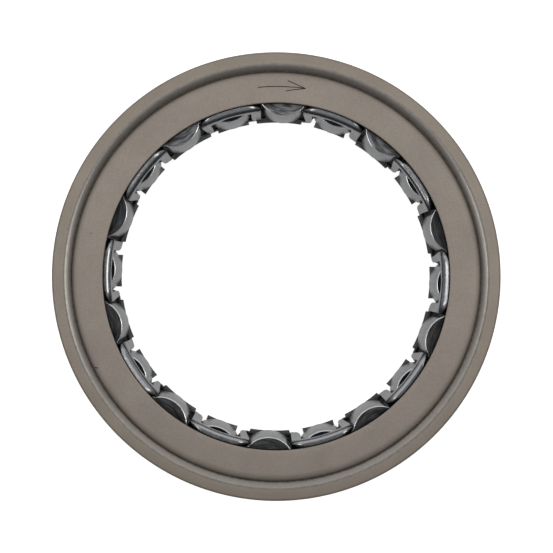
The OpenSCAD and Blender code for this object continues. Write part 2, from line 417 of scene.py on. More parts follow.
def blasted_steel(name, colour, roughness, with_rim=False):
    """with_rim adds the burnished shoulder between two radii, with painted shade in its crevice.
    """
    material, tree = fresh_material(name)
    place = node(tree, "ShaderNodeTexCoord").outputs["Object"]
    grit = node(tree, "ShaderNodeTexNoise", {"Vector": place},
                {"Scale": per_metre(GRIT_MM), "Detail": 3.0, "Roughness": 0.6})
    cloud = node(tree, "ShaderNodeTexNoise", {"Vector": place},
                 {"Scale": per_metre(CLOUD_MM), "Detail": 4.0, "Roughness": 0.55})
    darker, lighter = [(*[min(1.0, v * tone) for v in linear(colour)[:3]], 1.0)
                       for tone in GRIT_TONES]
    grain = node(tree, "ShaderNodeValToRGB", {"Fac": grit.outputs["Fac"]},
                 stops=((GRIT_EDGES[0], darker), (GRIT_EDGES[1], lighter)))
    shade = node(tree, "ShaderNodeMapRange", {"Value": cloud.outputs["Fac"]},
                 {**NOISE_SPAN, "To Min": CLOUD_TONES[0], "To Max": CLOUD_TONES[1]})
    tint = node(tree, "ShaderNodeVectorMath",
                {0: grain.outputs["Color"], "Scale": shade.outputs["Result"]}, operation="SCALE")
    rough = node(tree, "ShaderNodeMapRange", {"Value": grit.outputs["Fac"]},
                 {"To Min": roughness - GRIT_ROUGH, "To Max": roughness + GRIT_ROUGH})
    if with_rim:
        rough, tint = burnished_rim_and_shade(tree, place, rough.outputs["Result"], tint.outputs["Vector"])
    bump = node(tree, "ShaderNodeBump", {"Height": grit.outputs["Fac"]},
                {"Strength": 0.35, "Distance": GRIT_DEEP * MM})
    shader = node(tree, "ShaderNodeBsdfPrincipled",
                  {"Base Color": tint.outputs["Vector"], "Roughness": rough.outputs["Result"],
                   "Normal": bump.outputs["Normal"]}, {"Metallic": BLASTED_METAL})
    node(tree, "ShaderNodeOutputMaterial", {"Surface": shader.outputs["BSDF"]})
    return material


# %% The burnished shoulder and its painted crevice shade
def burnished_rim_and_shade(tree, place, rough, tint):
    """Changes roughness and colour below a radius, and paints crevice shade; returns the two last
    nodes.
    """
    across = {"From Min": RIM_BURNISHED[0] * MM, "From Max": RIM_BURNISHED[1] * MM}
    flat = node(tree, "ShaderNodeVectorMath", {0: place}, {1: (1.0, 1.0, 0.0)},
                operation="MULTIPLY")
    radius = node(tree, "ShaderNodeVectorMath", {0: flat.outputs["Vector"]}, operation="LENGTH")
    far = radius.outputs["Value"]
    smoother = node(tree, "ShaderNodeMapRange", {"Value": far, "To Max": rough},
                    {**across, "To Min": RIM_ROUGH})
    # Painted shade, darkest at the crevice and fading outwards.
    crevice_shade = node(tree, "ShaderNodeMapRange", {"Value": far},
               {"From Min": CREVICE_SHADE_R[0] * MM, "From Max": CREVICE_SHADE_R[1] * MM, "To Min": CREVICE_SHADE_DARK})
    patch_noise = node(tree, "ShaderNodeTexNoise", {"Vector": place},
                  {"Scale": per_metre(PATCH_MM), "Detail": 3.0, "Roughness": 0.7})
    patches = node(tree, "ShaderNodeMapRange",
                   {"Value": patch_noise.outputs["Fac"], "To Max": crevice_shade.outputs["Result"]},
                   {"From Min": PATCH_EDGES[0], "From Max": PATCH_EDGES[1], "To Min": PATCH_SHADE_DARK})
    shoulder_shade = node(tree, "ShaderNodeMapRange", {"Value": far, "To Min": patches.outputs["Result"]},
                {**across, "To Max": 1.0})
    bare = node(tree, "ShaderNodeMapRange", {"Value": far},
                {**across, "To Min": BARE_SHARE, "To Max": 0.0})
    blend = node(tree, "ShaderNodeMix", {0: bare.outputs["Result"], 6: tint},
                 {7: linear(BARE_COLOUR)}, data_type="RGBA")
    darkened = node(tree, "ShaderNodeVectorMath",
                    {0: blend.outputs[2], "Scale": shoulder_shade.outputs["Result"]}, operation="SCALE")
    return smoother, darkened


# The race's warm grey, with bare shoulders on its rims and painted shade in their crevices.
race_steel = blasted_steel("shot_blasted_race_steel", "#8F867B", 0.55, with_rim=True)
# The plates' steel, a little lighter and duller.
plate_steel = blasted_steel("shot_blasted_plate_steel", "#968D84", 0.6)


# %% [markdown]
# ### Worked steels
# Strip and wire are drawn or rolled, so their marks run one way. The noise is squeezed across
# that way and stretched along it. Real marks are a few hundredths of a millimetre wide, too
# fine for this picture, so they are drawn 0.15 to 0.7 mm wide. A slower noise makes the metal
# softly uneven, which breaks up the reflections.

# %% Rolled, drawn and pressed steel
MARK_DEEP, MARK_ROUGH = 0.01, (0.8, 1.25)


def worked_steel(name, colour, roughness, mark_mm, stretch, wave_mm, wave_deep, spread, edge):
    """spread is how much the marks change the tone, and edge is how much of the light at a
    glancing angle the finish still mirrors. colour is written as one colour, or as (height,
    colour) stops that paint shade changing between the rear and the front."""
    material, tree = fresh_material(name)
    place = node(tree, "ShaderNodeTexCoord").outputs["Object"]
    along = node(tree, "ShaderNodeMapping", {"Vector": place}, {"Scale": stretch})
    marks = node(tree, "ShaderNodeTexNoise", {"Vector": along.outputs["Vector"]},
                 {"Scale": per_metre(mark_mm), "Detail": 4.0, "Roughness": 0.65})
    waves = node(tree, "ShaderNodeTexNoise", {"Vector": place},
                 {"Scale": per_metre(wave_mm), "Detail": 2.0, "Roughness": 0.5})
    tone = node(tree, "ShaderNodeMapRange", {"Value": marks.outputs["Fac"]},
                {**NOISE_SPAN, "To Min": 1 - spread, "To Max": 1 + spread})
    shade = node(tree, "ShaderNodeVectorMath", {"Scale": tone.outputs["Result"]},
                 operation="SCALE")
    if isinstance(colour, str):
        shade.inputs[0].default_value = linear(colour)[:3]
    else:
        # Painted shade by height: the colour darkens towards the rear.
        up = node(tree, "ShaderNodeSeparateXYZ", {0: place}).outputs["Z"]
        height = node(tree, "ShaderNodeMapRange", {"Value": up}, {"From Max": RING_W * MM})
        ramp = node(tree, "ShaderNodeValToRGB", {"Fac": height.outputs["Result"]},
                    stops=[(at / RING_W, linear(stop_colour)) for at, stop_colour in colour])
        tree.links.new(ramp.outputs["Color"], shade.inputs[0])
    rough = node(tree, "ShaderNodeMapRange", {"Value": marks.outputs["Fac"]},
                 {**NOISE_SPAN, "To Min": roughness * MARK_ROUGH[0],
                  "To Max": roughness * MARK_ROUGH[1]})
    fine = node(tree, "ShaderNodeBump", {"Height": marks.outputs["Fac"]},
                {"Strength": 0.25, "Distance": MARK_DEEP * MM})
    slow = node(tree, "ShaderNodeBump",
                {"Height": waves.outputs["Fac"], "Normal": fine.outputs["Normal"]},
                {"Strength": 1.0, "Distance": wave_deep * MM})
    shader = node(tree, "ShaderNodeBsdfPrincipled",
                  {"Base Color": shade.outputs["Vector"], "Roughness": rough.outputs["Result"],
                   "Normal": slow.outputs["Normal"]},
                  {"Metallic": 1.0, "Specular Tint": (edge, edge, edge, 1.0)})
    node(tree, "ShaderNodeOutputMaterial", {"Surface": shader.outputs["BSDF"]})
    return material


# %% The worked finishes
# How closely the marks follow each other along x, y and z. A small last number draws them out.
ANY_WAY, UP_THE_BAR, WIRE_WAY, GROUND_WAY = (1, 1, 1), (1, 1, 0.6), (1, 1, 0.2), (1, 1, 0.08)

# Cold-rolled spring strip, with painted light and shade: lighter on the loops, darker down the
# bars and darkest at their feet.
STRIP_SHADE_STOPS = ((3.6, "#505153"), (5.5, "#6D6E70"), (18.0, "#6D6E70"), (21.5, "#939496"))
strip_steel = worked_steel("bright_rolled_strip", STRIP_SHADE_STOPS, 0.22, mark_mm=0.7,
                           stretch=UP_THE_BAR, wave_mm=1.6, wave_deep=0.035, spread=0.06, edge=0.7)

# Pressed sheet with a dull, slightly oily skin, darkened further as painted shade deep behind the
# sprags.
shaded_cage_steel = worked_steel("pressed_cage_steel", "#4C4D4F", 0.4, mark_mm=0.3, stretch=ANY_WAY,
                          wave_mm=3.0, wave_deep=0.02, spread=0.12, edge=0.5)

# Blued and hardened spring strip; its near-black tone is also painted shade deep between the
# sprags.
spring_and_shade_steel = worked_steel("hard_spring_strip", "#2C2D30", 0.35, mark_mm=0.2, stretch=WIRE_WAY,
                            wave_mm=3.0, wave_deep=0.01, spread=0.12, edge=0.5)

# The sprags' cams are ground along their length, which gives an even, satin grey.
cam_steel = worked_steel("ground_cam_steel", "#7A7B7C", 0.3, mark_mm=0.15, stretch=GROUND_WAY,
                         wave_mm=4.0, wave_deep=0.005, spread=0.08, edge=0.86)

# Tumbling polishes the sprags' end edges; their light colour is painted highlight, so they shine
# as thin bright arcs.
highlight_edge_steel = worked_steel("tumbled_edge_highlight_steel", "#C6C7C9", 0.2, mark_mm=0.3, stretch=ANY_WAY,
                          wave_mm=1.2, wave_deep=0.02, spread=0.1, edge=1.0)

# Near-black steel as painted shade, for faces deep between parts: the sprags' sides, the plates'
# bore edges and the outer cage's wall.
shade_side_steel = worked_steel("painted_shade_side_steel", "#1B1C1E", 0.5, mark_mm=0.3, stretch=WIRE_WAY,
                          wave_mm=3.0, wave_deep=0.01, spread=0.12, edge=0.3)

# A scribed line gets a dark brown, dull finish.
groove_finish = worked_steel("scribed_groove", "#483E36", 0.7, mark_mm=0.2, stretch=ANY_WAY,
                             wave_mm=2.0, wave_deep=0.01, spread=0.12, edge=1.0)


# %% [markdown]
# ### Sawn end faces
# Each sprag was sawn or sheared off its bar, which leaves curved streaks round a point on its
# outer side. The streaks follow a map of the end face, drawn in millimetres, and a slow noise
# from the sprag's place in the clutch makes every sprag's streaks its own. Light is painted on
# the three ends at the top, shade on the other open ends, and deeper shade on the ends under
# the loops.

# %% Sawn steel
SAW_CENTRE = (0.6, 41.5)
STREAK_MM, STREAK_DEEP, STREAK_EDGES = 0.33, 0.03, (0.4, 0.62)
WANDER_MM, WANDER = 2.5, 0.4  # a slow noise bends the streaks by this many millimetres
DRIFT = 0.12  # how quickly a streak changes along its length
OWN_STEP = 60.0  # metres of place to steps through the noise, so that no two ends agree


def sawn_steel(name, dark, light, roughness):
    """dark and light are the tones between which the streaks run."""
    material, tree = fresh_material(name)
    face_map = node(tree, "ShaderNodeUVMap", uv_map="end_map").outputs["UV"]
    place = node(tree, "ShaderNodeTexCoord").outputs["Object"]
    wander = node(tree, "ShaderNodeTexNoise", {"Vector": place},
                  {"Scale": per_metre(WANDER_MM), "Detail": 1.0, "Roughness": 0.5})
    offset = node(tree, "ShaderNodeVectorMath", {0: face_map}, {1: (*SAW_CENTRE, 0.0)},
                  operation="SUBTRACT")
    far = node(tree, "ShaderNodeVectorMath", {0: offset.outputs["Vector"]}, operation="LENGTH")
    pushed = node(tree, "ShaderNodeMath", {0: wander.outputs["Fac"], 2: far.outputs["Value"]},
                  {1: WANDER}, operation="MULTIPLY_ADD")
    sideways = node(tree, "ShaderNodeSeparateXYZ", {0: offset.outputs["Vector"]})
    drift = node(tree, "ShaderNodeMath", {0: sideways.outputs["X"]}, {1: DRIFT},
                 operation="MULTIPLY")
    steps = node(tree, "ShaderNodeVectorMath", {0: place}, {"Scale": OWN_STEP}, operation="SCALE")
    own = node(tree, "ShaderNodeSeparateXYZ", {0: steps.outputs["Vector"]})
    line = node(tree, "ShaderNodeCombineXYZ",
                {"X": pushed.outputs[0], "Y": drift.outputs[0], "Z": own.outputs["X"]})
    streaks = node(tree, "ShaderNodeTexNoise", {"Vector": line.outputs["Vector"]},
                   {"Scale": 1 / STREAK_MM, "Detail": 4.0, "Roughness": 0.6})
    tone = node(tree, "ShaderNodeValToRGB", {"Fac": streaks.outputs["Fac"]},
                stops=((STREAK_EDGES[0], linear(dark)), (STREAK_EDGES[1], linear(light))))
    cut = node(tree, "ShaderNodeBump", {"Height": streaks.outputs["Fac"]},
               {"Strength": 0.6, "Distance": STREAK_DEEP * MM})
    shader = node(tree, "ShaderNodeBsdfPrincipled",
                  {"Base Color": tone.outputs["Color"], "Normal": cut.outputs["Normal"]},
                  {"Metallic": 1.0, "Roughness": roughness})
    node(tree, "ShaderNodeOutputMaterial", {"Surface": shader.outputs["BSDF"]})
    return material


# Sawn steel made lighter as painted light, for the ends at the top of the picture.
end_steel = sawn_steel("sawn_end_steel", "#434446", "#828385", 0.4)
# The same steel, darker as painted shade, in the other open windows.
shaded_end_steel = sawn_steel("shaded_sawn_end_steel", "#303132", "#4E4E4F", 0.45)
# The same steel, nearly black as painted shade, under the loops.
deep_shade_end_steel = sawn_steel("deep_shade_sawn_end_steel", "#101113", "#242527", 0.5)

# %% [markdown]
# ### Dress the ring
# The race and the plates get their finishes. Shade is painted on the edge of the plates'
# bores: the faces of that edge, found by their place and slope, get the near-black steel of
# painted shade. The strokes are cut afterwards and bring their own finish into the plate.

# %% Dress race and plates
BORE_EDGE = 0.3
BORE_SLOPE = 0.6  # faces of the bore's edge point less than this far up or down


def dress(piece, *materials):
    """Gives a piece these materials in place of its own."""
    piece.data.materials.clear()
    for material in materials:
        piece.data.materials.append(material)


dress(race, race_steel)
for plate in (front_plate, rear_plate):
    dress(plate, plate_steel, shade_side_steel)
    # The bore's edge faces get the near-black steel of painted shade.
    for face in plate.data.polygons:
        at_bore = face.center.xy.length < (PLATE_BORE_R + BORE_EDGE) * MM
        face.material_index = 1 if at_bore and abs(face.normal.z) < BORE_SLOPE else 0

# %% Cut the strokes into the front plate
for stroke_name, path in STROKES.items():
    cutter = stroke(stroke_name, path, NICK_DEEP if stroke_name == "nick" else STROKE_DEEP)
    dress(cutter, groove_finish)
    modify(front_plate, "BOOLEAN", object=cutter, operation="DIFFERENCE", solver="EXACT",
           material_mode="TRANSFER")
    bpy.data.objects.remove(cutter)
smooth(front_plate)
report(front_plate)

# %% Say what they stand for
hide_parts("outer_race")
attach(race, "outer_ring")
for plate, plate_node in ((front_plate, "front_side_plate"), (rear_plate, "rear_side_plate")):
    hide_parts(plate_node)
    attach(plate, "outer_ring")

# %% [markdown]
# ## Sprags
# A sprag is cut from drawn steel bar whose outline is two cams back to back. Here two
# cylinders on offset centres are intersected, flats and hollows are cut, and the end edges
# get the small chamfer that shines as a thin bright line in the clutch.

# %% One sprag at the top of the ring
INNER_CAM = (0.15, 38.16, 5.7)  # x, y and radius
OUTER_CAM = (-0.6, 34.96, 5.5)
SPRAG_W = 9.5
WAIST_X, WAIST_Y, WAIST_R = 5.15, 36.5, 1.7
WAIST_STRETCH = 1.2  # the cutter of a hollow is this much longer than the sprag
SPRAG_MIDDLE = (SPRAG_LOW + SPRAG_HIGH) / 2
CAM_SIDES, WAIST_SIDES = 160, 96


def round_bar(x, y, radius, sides=CAM_SIDES):
    """A cylinder as long as the sprag."""
    bpy.ops.mesh.primitive_cylinder_add(
        vertices=sides, radius=radius * MM, depth=(SPRAG_HIGH - SPRAG_LOW) * MM,
        location=(x * MM, y * MM, SPRAG_MIDDLE * MM))
    bar = bpy.context.active_object
    settle(bar)
    return bar


sprag = round_bar(*INNER_CAM)
outer_bar = round_bar(*OUTER_CAM)
modify(sprag, "BOOLEAN", object=outer_bar, operation="INTERSECT", solver="EXACT")
bpy.data.objects.remove(outer_bar)
edit(sprag)
for side in (-1, 1):
    bpy.ops.mesh.select_all(action="SELECT")
    bpy.ops.mesh.bisect(plane_co=(side * SPRAG_W / 2 * MM, 0, 0), plane_no=(side, 0, 0),
                        clear_outer=True, use_fill=True)
leave()
for side in (-1, 1):
    hollow = round_bar(side * WAIST_X, WAIST_Y, WAIST_R, WAIST_SIDES)
    hollow.scale = (1, 1, WAIST_STRETCH)
    hollow.location.z -= (WAIST_STRETCH - 1) * SPRAG_MIDDLE * MM
    settle(hollow)
    modify(sprag, "BOOLEAN", object=hollow, operation="DIFFERENCE", solver="EXACT")
    bpy.data.objects.remove(hollow)

# %% [markdown]
# The end edges are found by their place: both ends lie at the end's height, and the two faces
# that meet there stand at an angle. The bevel rounds them in three steps.

# %% Chamfer the ends
CHAMFER = 0.25
AT_PLACE = 0.01  # faces this close to a height lie in it
LEVEL = 0.001  # an edge whose ends differ less than this in height is level
TURN_BETWEEN = 0.5  # the faces at an end edge differ more than this in slope


def from_end(height):
    """How far a height lies from the nearer end of the sprag."""
    return min(abs(height - SPRAG_LOW), abs(height - SPRAG_HIGH))


def at_an_end(at, edge):
    level = abs(edge.verts[0].co.z - edge.verts[1].co.z) < LEVEL * MM
    if from_end(at.z) >= AT_PLACE or not level or len(edge.link_faces) != 2:
        return False
    return abs(edge.link_faces[0].normal.z - edge.link_faces[1].normal.z) > TURN_BETWEEN


edit(sprag, "EDGE")
weld()
bpy.ops.mesh.select_all(action="DESELECT")
print("end edges:", pick(sprag, "EDGE", at_an_end))
bpy.ops.mesh.bevel(offset=CHAMFER * MM, offset_type="OFFSET", segments=3, profile=0.5,
                   affect="EDGES")
bpy.ops.mesh.select_all(action="DESELECT")
leave()

# %% [markdown]
# Cams, ends, sides and end edges have four finishes. The map of the end face holds each
# corner's place in millimetres, before the sprag is turned to its own place.

# %% Finish each face by its place
CAM_FACE, END_FACE, SIDE_FACE, EDGE_FACE = range(4)
ON_CAM = 0.02
# The sides get near-black steel as painted shade, and the end edges a light steel as painted
# highlight.
dress(sprag, cam_steel, end_steel, shade_side_steel, highlight_edge_steel)
end_map = sprag.data.uv_layers.new(name="end_map")
for corner in sprag.data.loops:
    at = sprag.data.vertices[corner.vertex_index].co / MM
    end_map.data[corner.index].uv = (at.x, at.y)


def on_cam(at, cam):
    return abs(math.hypot(at.x - cam[0], at.y - cam[1]) - cam[2]) < ON_CAM


for face in sprag.data.polygons:
    at = face.center / MM
    if from_end(at.z) < AT_PLACE:
        face.material_index = END_FACE
    elif from_end(at.z) < CHAMFER:
        face.material_index = EDGE_FACE
    elif on_cam(at, INNER_CAM) or on_cam(at, OUTER_CAM):
        face.material_index = CAM_FACE
    else:
        face.material_index = SIDE_FACE
smooth(sprag, 40)
sprag.name = "sprag_blank"
report(sprag)

# %% Twenty sprags, each in its place
# The ends of these three get painted light.
PAINTED_LIT_ENDS = (19, 1, 3)  # the three at the top of the picture
for number in range(1, 2 * PAIRS + 1):
    cad_name = f"sprag_{number:02d}"
    piece = copy_of(sprag, f"sprag_piece_{number:02d}", turn_of(number))
    # Ends under the loops get deep painted shade, and the other open ends, except the three lit
    # ones, painted shade.
    if number % 2 == 0:
        piece.data.materials[END_FACE] = deep_shade_end_steel
    elif number not in PAINTED_LIT_ENDS:
        piece.data.materials[END_FACE] = shaded_end_steel
    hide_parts(cad_name)
    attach(piece, cad_name)
bpy.data.objects.remove(sprag)

# %% [markdown]
# ## Inner cage
# A serpentine of bright strip: a flat band runs up each bar, bends out into a loop under the
# front plate, and comes down the next bar. One loop with its bars and rear bridge is wrapped
# from a grid, made ten times with its own bend and joined, and then gets its thickness and
# soft edges. Columns of the grid run round the ring and rows run up the wall and out.

# %% Sizes of the strip
INNER_R, INNER_T = 33.25, 0.6
WALL_LOW, BRIDGE_TOP, WINDOW_TOP, LOOP_TOP = 3.2, 3.95, 21.0, 22.65
LOOP_R, LOOP_CORNER = 35.5, 2.2
BENDS = (1.6, 0.95, 2.0, 1.3, 1.05, 1.05, 2.0, 1.25, 1.7, 1.6)  # each loop's bend, clockwise
BEND_DEEP = 1.6  # a wider bend is flattened to this height
WINDOW_CORNER = 0.8
FOOT_RISE, FOOT_CUT = 8.0, 1.0  # a bar's foot is cut back by FOOT_CUT over this height
# The last END_WIDE of a loop sinks by up to END_DROP. That starts at the height DROP_FROM on
# the bar, and a higher END_CURVE keeps it nearer the end.
END_WIDE, END_DROP, END_CURVE, DROP_FROM = 2.5, 1.0, 2.4, 18.3
# From the middle of a sprag to its window's edges, and how much the sides slant: first for an
# open sprag, then for one under a loop.
OPEN_BACK, OPEN_FORE, OPEN_FLARE = 4.4, 4.2, 0.95
LOOP_BACK, LOOP_FORE, LOOP_FLARE = 4.45, 4.1, 0.45
LOOP_LAP = 0.05  # the end of a loop stands this far past the edge of its bar

# %% Rows and columns of the grid
BAR_SHARES = (0, 0.06, 0.15, 0.26, 0.39, 0.53, 0.68, 0.84, 1)
BAR_COLUMNS, LOOP_COLUMNS, GAP_COLUMNS = len(BAR_SHARES) - 1, 30, 8
WALL_HEIGHTS = (WALL_LOW, 3.3, 3.5, BRIDGE_TOP, 4.6, 6, 8.5, 12, 15.5, DROP_FROM, 19.4, 20.2,
                20.45, 20.7, 20.88, WINDOW_TOP)
BRIDGE_ROWS = WALL_HEIGHTS.index(BRIDGE_TOP)
BEND_ROWS = 18
FLAT_ROWS = 2
wall_rows = len(WALL_HEIGHTS) - 1
rows = wall_rows + BEND_ROWS + FLAT_ROWS
columns = 2 * BAR_COLUMNS + LOOP_COLUMNS + GAP_COLUMNS
print("grid of one loop:", columns, "by", rows)


def strip_profile(bend):
    """(radius, height) up the wall, round the bend and out along the flat."""
    points = [(INNER_R, z) for z in WALL_HEIGHTS]
    deep = min(bend, BEND_DEEP)
    for i in range(1, BEND_ROWS + 1):
        t = math.radians(90 * i / BEND_ROWS)
        points.append((INNER_R + bend * (1 - math.cos(t)), LOOP_TOP - deep * (1 - math.sin(t))))
    flat_start = INNER_R + bend
    return points + [((flat_start + LOOP_R) / 2, LOOP_TOP), (LOOP_R, LOOP_TOP)]


# %% [markdown]
# ### Where the loop ends
# The window of an open sprag has straight sides, and so has the gap between two loops. A loop
# therefore ends on a plane beside the open sprag and not on a ray from the axis. Its outer
# corners are rounded, and the angle where the rounding cuts a radius is found by halving.

# %% How far a loop reaches
HALVINGS = 40


def inside_loop(r, turn, limit):
    """True where the point at this radius and angle lies on the loop, within its corners."""
    x, y = r * math.sin(turn), r * math.cos(turn)
    corner_y = LOOP_R - LOOP_CORNER
    if y <= corner_y:
        return x <= limit
    x -= limit - LOOP_CORNER
    return x <= 0 or math.hypot(x, y - corner_y) <= LOOP_CORNER


def outer_turn(r, edge):
    """How far a loop or bar reaches at this radius, as an angle from the loop's middle. edge
    is the distance from the open sprag's middle to its window's edge."""
    wall_r = INNER_R + INNER_T
    limit = wall_r * math.sin(math.radians(PITCH) - math.asin(edge / wall_r)) + LOOP_LAP
    plane = math.radians(PITCH) - math.asin(edge / r)
    if inside_loop(r, plane, limit):
        return plane
    low, high = 0.0, plane
    for _ in range(HALVINGS):
        between = (low + high) / 2
        if inside_loop(r, between, limit):
            low = between
        else:
            high = between
    return low


# %% [markdown]
# ### Where the bars' edges run
# The windows' sides slant a little, as in the photo. The window under a loop widens in a curve
# at the bars' feet, where the strip turns into the rear bridge, and its front corners are
# rounded.

# %% Edges of the two bars
def slide(z, low, high):
    """Goes from 0 to 1 between two heights."""
    return min(1.0, max(0.0, (z - low) / (high - low)))


def bar_edges(r, z):
    """Angles of the four edges of the two bars at one height, left to right."""
    up = slide(z, BRIDGE_TOP, WINDOW_TOP)
    fore = OPEN_FORE + OPEN_FLARE * (1 - up)
    back = LOOP_BACK - LOOP_FLARE * (1 - up)
    cut = 0.0
    if z < WALL_LOW + FOOT_RISE:
        rise = (WALL_LOW + FOOT_RISE - z) / FOOT_RISE
        cut = FOOT_CUT * (1 - math.sqrt(max(0.0, 1 - rise**2)))
    elif z > WINDOW_TOP:
        cut = -WINDOW_CORNER * (1 - slide(z, WINDOW_TOP, LOOP_TOP)) ** 2
    elif z > WINDOW_TOP - WINDOW_CORNER:
        rise = z - WINDOW_TOP + WINDOW_CORNER
        cut = math.sqrt(WINDOW_CORNER**2 - rise**2) - WINDOW_CORNER
    if z > WINDOW_TOP:
        left, right = outer_turn(r, OPEN_FORE), outer_turn(r, OPEN_BACK)
    else:
        left = math.radians(PITCH) - math.asin(fore / r)
        right = math.radians(PITCH) - math.asin(OPEN_BACK / r)
    window_left, window_right = -(back + cut) / INNER_R, (LOOP_FORE + cut) / INNER_R
    return -left, math.asin(window_left), math.asin(window_right), right


# %% [markdown]
# ### Wrap the grid
# Each corner of a flat grid is moved to its own place: its column gives the angle and its row
# gives radius and height. Near its two ends the loop sinks and turns down into the bars.

# %% Place one corner of the grid
def end_drop(distance, z):
    """How far the loop has sunk at this distance from its end, as it turns down into the bar."""
    share = slide(z, DROP_FROM, WINDOW_TOP)
    near = max(0.0, 1 - distance / END_WIDE)
    return END_DROP * share * share * (3 - 2 * share) * near**END_CURVE


def loop_point(column, row, profile):
    """Where one corner of the grid goes. The columns run over a bar, the loop or its window,
    the other bar, and the gap up to the next loop's first bar."""
    r, z = profile[row]
    left, window_left, window_right, right = bar_edges(r, z)
    next_left = 2 * math.radians(PITCH) + left
    if column <= BAR_COLUMNS:
        turn = left + (window_left - left) * BAR_SHARES[column]
    elif column <= BAR_COLUMNS + LOOP_COLUMNS:
        turn = window_left + (window_right - window_left) * (column - BAR_COLUMNS) / LOOP_COLUMNS
    elif column <= columns - GAP_COLUMNS:
        turn = right - (right - window_right) * BAR_SHARES[columns - GAP_COLUMNS - column]
    else:
        turn = right + (next_left - right) * (column - columns + GAP_COLUMNS) / GAP_COLUMNS
    if turn <= right:
        z -= end_drop(r * min(turn - left, right - turn), z)
    return Vector((r * math.sin(turn), r * math.cos(turn), z)) * MM


# %% One loop with its bars and rear bridge
GRID_HALF = 1


def grid_place(x, y):
    """Column and row, with their fractions, of a place on the flat grid."""
    across, up = (x + GRID_HALF) / (2 * GRID_HALF), (y + GRID_HALF) / (2 * GRID_HALF)
    return across * columns, up * rows


def is_hole(place, face):
    """True for faces in a window or between two loops. pick gives the place in millimetres."""
    column, row = (int(v) for v in grid_place(place.x * MM, place.y * MM))
    if column < BAR_COLUMNS:
        return False
    if column < BAR_COLUMNS + LOOP_COLUMNS:
        return row < wall_rows
    return column >= columns - GAP_COLUMNS and row >= BRIDGE_ROWS


def is_hole_with_bridge(place, face):
    """The same for the one loop whose window is closed by a rear bridge."""
    return is_hole(place, face) and grid_place(0, place.y * MM)[1] >= BRIDGE_ROWS


def loop_unit(number):
    bpy.ops.mesh.primitive_grid_add(x_subdivisions=columns, y_subdivisions=rows,
                                    size=2 * GRID_HALF, location=(0, 0, 0))
    unit = bpy.context.active_object
    edit(unit, "FACE")
    pick(unit, "FACE", is_hole_with_bridge if number == PAIRS else is_hole)
    bpy.ops.mesh.delete(type="FACE")
    leave()
    profile = strip_profile(BENDS[number - 1])
    for vertex in unit.data.vertices:
        column, row = (round(v) for v in grid_place(vertex.co.x, vertex.co.y))
        vertex.co = loop_point(column, row, profile)
    unit.data.transform(Matrix.Rotation(-math.radians(turn_of(2 * number)), 4, "Z"))
    return unit


# %% Join the ten loops
units = [loop_unit(number) for number in range(1, PAIRS + 1)]
alone(units[0])
for unit in units:
    unit.select_set(True)
bpy.ops.object.join()
cage = bpy.context.active_object
cage.name = cage.data.name = "serpentine_cage"
edit(cage)
weld(0.003)
leave()


# %% [markdown]
# The wall's faces have to look towards the axis, because the strip's thickness is added
# behind them. Where most look away, all are turned. Solidify and Bevel then make real strip
# of it, with rolled edges.

# %% Thickness and soft edges
def faces_axis(face):
    return face.normal.dot(Vector((-face.center.x, -face.center.y, 0.0))) > 0


inward = sum(faces_axis(face) for face in cage.data.polygons)
print("faces that look inwards:", inward, "of", len(cage.data.polygons))
edit(cage)
bpy.ops.mesh.select_all(action="SELECT")
if inward < len(cage.data.polygons) / 2:
    bpy.ops.mesh.flip_normals()
leave()
modify(cage, "SOLIDIFY", thickness=INNER_T * MM, offset=-1.0, use_even_offset=True)
modify(cage, "BEVEL", width=0.14 * MM, segments=3, limit_method="ANGLE",
       angle_limit=math.radians(50), use_clamp_overlap=True)
smooth(cage, 50)
dress(cage, strip_steel)
report(cage)
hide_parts("inner_cage")
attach(cage, "inner_cage")

# %% [markdown]
# ## Outer cage and ribbon spring
# The outer cage stands behind the sprags and ends at the rear in a flange with square tabs.
# Its shape comes from a merged copy of the solid, whose sharp press edges are eased. Its wall,
# deep behind the sprags, gets near-black steel as painted shade, and its flange a dull steel
# darkened as painted shade. The ribbon spring stays as the solid has it, deep between the
# sprags, and only gets its finish, whose dark tone is partly painted shade.

# %% Copy the solid
outer_cage = copy_of(frame["nodes"]["outer_cage"], "flanged_cage", 0)
outer_cage.parent = None
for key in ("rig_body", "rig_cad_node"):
    if key in outer_cage:
        del outer_cage[key]
edit(outer_cage)
weld()
bpy.ops.mesh.select_all(action="SELECT")
bpy.ops.mesh.dissolve_limited(angle_limit=math.radians(1))
leave()

# %% Ease its edges and dress it
modify(outer_cage, "BEVEL", width=0.1 * MM, segments=2, limit_method="ANGLE",
       angle_limit=math.radians(40), use_clamp_overlap=True)
smooth(outer_cage, 40)
# The flange gets cage steel darkened as painted shade, and the wall above it near-black steel as
# painted shade.
dress(outer_cage, shaded_cage_steel, shade_side_steel)
for face in outer_cage.data.polygons:
    face.material_index = 1 if face.center.z > WALL_LOW * MM else 0
report(outer_cage)
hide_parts("outer_cage")
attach(outer_cage, "cage")

# The spring's dark finish is partly painted shade.
dress(frame["nodes"]["ribbon_spring"], spring_and_shade_steel)

# %% [markdown]
# ## Table, light and camera
# The clutch lies on a pale table that glows a little where the camera or a mirroring surface
# sees it, as the photo's white ground does. The glow lights nothing, so the table keeps the
# clutch's shadow.

# %% Table
TABLE_SIZE = 3.0  # metres
TABLE_GAP = 0.02  # millimetres under the clutch, so that no two faces share a plane
TABLE_IN_METAL, TABLE_GLOW = 0.4, 0.8
WHITE = (1, 1, 1, 1)
bpy.ops.mesh.primitive_plane_add(size=TABLE_SIZE, location=(0, 0, -TABLE_GAP * MM))
table = bpy.context.active_object
table.name = "table_top"
